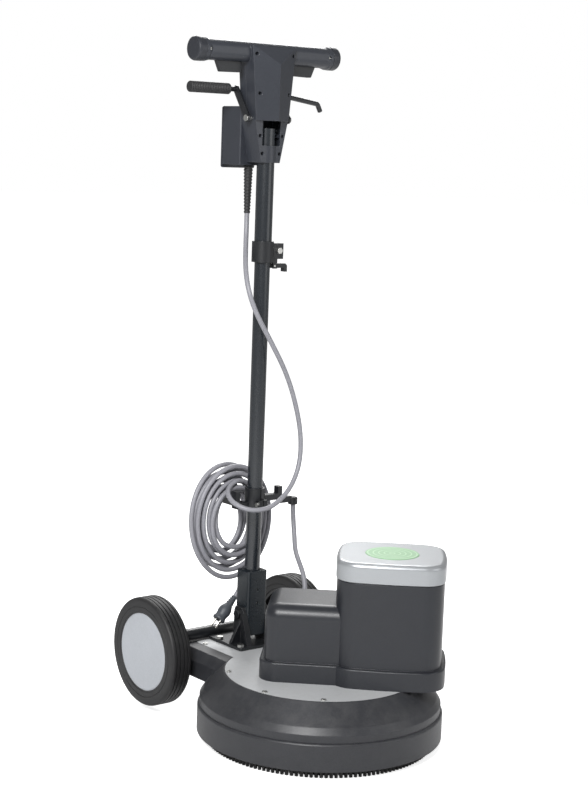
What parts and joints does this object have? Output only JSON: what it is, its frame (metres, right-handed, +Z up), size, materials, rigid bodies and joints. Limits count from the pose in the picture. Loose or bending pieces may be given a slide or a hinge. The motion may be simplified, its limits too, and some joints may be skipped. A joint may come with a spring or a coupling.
{
  "type": "high speed burnisher",
  "caption": "Walk-behind floor burnisher: round brush under a belt-driven motor housing, two transport wheels, tilting telescopic handle, grip bar with triggers and levers, coiled mains cord.",
  "frame": {"origin": "on the floor, at the middle of the object's footprint with its free cord left out", "axes": "+Z up along the handle, +Y from the motor towards the wheels and the person who pushes it, +X to the pusher's right as seen from the motor side"},
  "size_m": [0.46, 0.645, 1.2935],
  "materials": {
    "grained_casing": "grained",
    "silver_paint": "satin",
    "cover_plastic": "fine grained",
    "lid_plastic": "satin metallic",
    "green_badge": "satin",
    "black_paint": "satin",
    "bright_steel": "bright zinc",
    "pole_steel": "semi-gloss",
    "cast_body": "as cast",
    "black_plastic": "moulded",
    "head_plastic": "fine grained",
    "cord_grey": "matt sheath",
    "plug_grey": "moulded",
    "brush_fibre": "bristle tufts",
    "brush_block": "moulded",
    "belt_rubber": "matt",
    "tyre_rubber": "matt",
    "disc_paint": "satin",
    "copper_iron": "lacquered"
  },
  "bodies": {
    "root": {"upper_casing": "grained_casing", "lower_skirt": "grained_casing", "deck_plate": "silver_paint", "motor_cover": "cover_plastic", "motor_lid": "lid_plastic", "lid_badge": "green_badge", "motor_cord_gland": "black_plastic", "motor_stator": "copper_iron", "motor_can": "cast_body", "motor_plate": "bright_steel", "electrics": "black_plastic", "bearing_housing": "cast_body", "bearings": "bright_steel", "drive_belt": "belt_rubber", "handle_bracket": "black_paint", "cross_tube": "black_paint", "axle_plates": "black_paint", "wheel_axle": "bright_steel", "deck_fasteners": "bright_steel", "pivot_bolt": "bright_steel", "motor_cord": "cord_grey"},
    "brush": {"brush_bristles": "brush_fibre", "brush_block": "brush_block", "drive_plate": "black_plastic", "brush_spindle": "bright_steel", "driven_pulley": "cast_body"},
    "motor_spin": {"motor_rotor": "bright_steel", "motor_fan": "black_plastic", "motor_pulley": "cast_body"},
    "wheel_left": {"tyre_left": "tyre_rubber", "wheel_hub_left": "black_plastic", "wheel_disc_left": "disc_paint"},
    "wheel_right": {"tyre_right": "tyre_rubber", "wheel_hub_right": "black_plastic", "wheel_disc_right": "disc_paint"},
    "handle_lower": {"handle_sleeve": "black_plastic", "lower_tube": "pole_steel", "pole_bolts": "bright_steel", "cord_hanger": "black_plastic", "cord_coil": "cord_grey", "cord_tail": "cord_grey", "mains_plug": "plug_grey"},
    "handle_upper": {"upper_tube": "pole_steel", "tube_clamp": "black_plastic", "head_front_shell": "head_plastic", "head_rear_shell": "head_plastic", "handle_screws": "bright_steel", "bar_caps": "black_plastic", "control_pins": "bright_steel", "switches": "black_plastic", "switch_box": "head_plastic", "switch_box_lid": "head_plastic", "cord_relief": "black_plastic", "power_cord": "cord_grey"},
    "clamp_lever": {"clamp_lever": "black_plastic"},
    "trigger_left": {"trigger_left": "black_plastic"},
    "trigger_right": {"trigger_right": "black_plastic"},
    "lever_left": {"lever_left": "black_paint", "lever_grip": "black_plastic"},
    "lever_right": {"lever_right": "black_paint"}
  },
  "joints": [
    {"name": "brush_spin", "type": "hinge", "parent": "root", "child": "brush", "pos_m": [0, -0.0925, 0.09], "axis": [0, 0, 1], "continuous": true},
    {"name": "motor_spin", "type": "hinge", "parent": "root", "child": "motor_spin", "pos_m": [0.0903, -0.1767, 0.15], "axis": [0, 0, 1], "continuous": true},
    {"name": "wheel_left_spin", "type": "hinge", "parent": "root", "child": "wheel_left", "pos_m": [-0.165, 0.2165, 0.1185], "axis": [1, 0, 0], "continuous": true},
    {"name": "wheel_right_spin", "type": "hinge", "parent": "root", "child": "wheel_right", "pos_m": [0.165, 0.2165, 0.1185], "axis": [1, 0, 0], "continuous": true},
    {"name": "handle_tilt", "type": "hinge", "parent": "root", "child": "handle_lower", "pos_m": [0, 0.1285, 0.192], "axis": [-1, 0, 0], "range_deg": [0, 40], "deforming": ["motor_cord"]},
    {"name": "tube_height", "type": "slide", "parent": "handle_lower", "child": "handle_upper", "axis": [0, 0, 1], "range_m": [-0.2, 0.06], "deforming": ["power_cord"]},
    {"name": "clamp_lever_swing", "type": "hinge", "parent": "handle_upper", "child": "clamp_lever", "pos_m": [0.024, 0.1285, 0.8725], "axis": [0, 1, 0], "range_deg": [0, 70]},
    {"name": "trigger_left_pull", "type": "hinge", "parent": "handle_upper", "child": "trigger_left", "pos_m": [-0.066, 0.1385, 1.263], "axis": [0, 1, 0], "range_deg": [0, 10], "stiffness_Nm_per_rad": 0.5, "springref_deg": -5.73},
    {"name": "trigger_right_pull", "type": "hinge", "parent": "handle_upper", "child": "trigger_right", "pos_m": [0.066, 0.1385, 1.263], "axis": [0, -1, 0], "range_deg": [0, 10], "stiffness_Nm_per_rad": 0.5, "springref_deg": -5.73},
    {"name": "lever_left_lift", "type": "hinge", "parent": "handle_upper", "child": "lever_left", "pos_m": [-0.045, 0.1265, 1.15], "axis": [1, 0, 0], "range_deg": [0, 20], "stiffness_Nm_per_rad": 1, "springref_deg": -5.73},
    {"name": "lever_right_lift", "type": "hinge", "parent": "handle_upper", "child": "lever_right", "pos_m": [0.045, 0.1265, 1.15], "axis": [1, 0, 0], "range_deg": [0, 20], "stiffness_Nm_per_rad": 1, "springref_deg": -5.73}
  ],
  "couplings": [
    {"joint": "motor_spin", "follows": "brush_spin", "ratio": 1.8889}
  ]
}
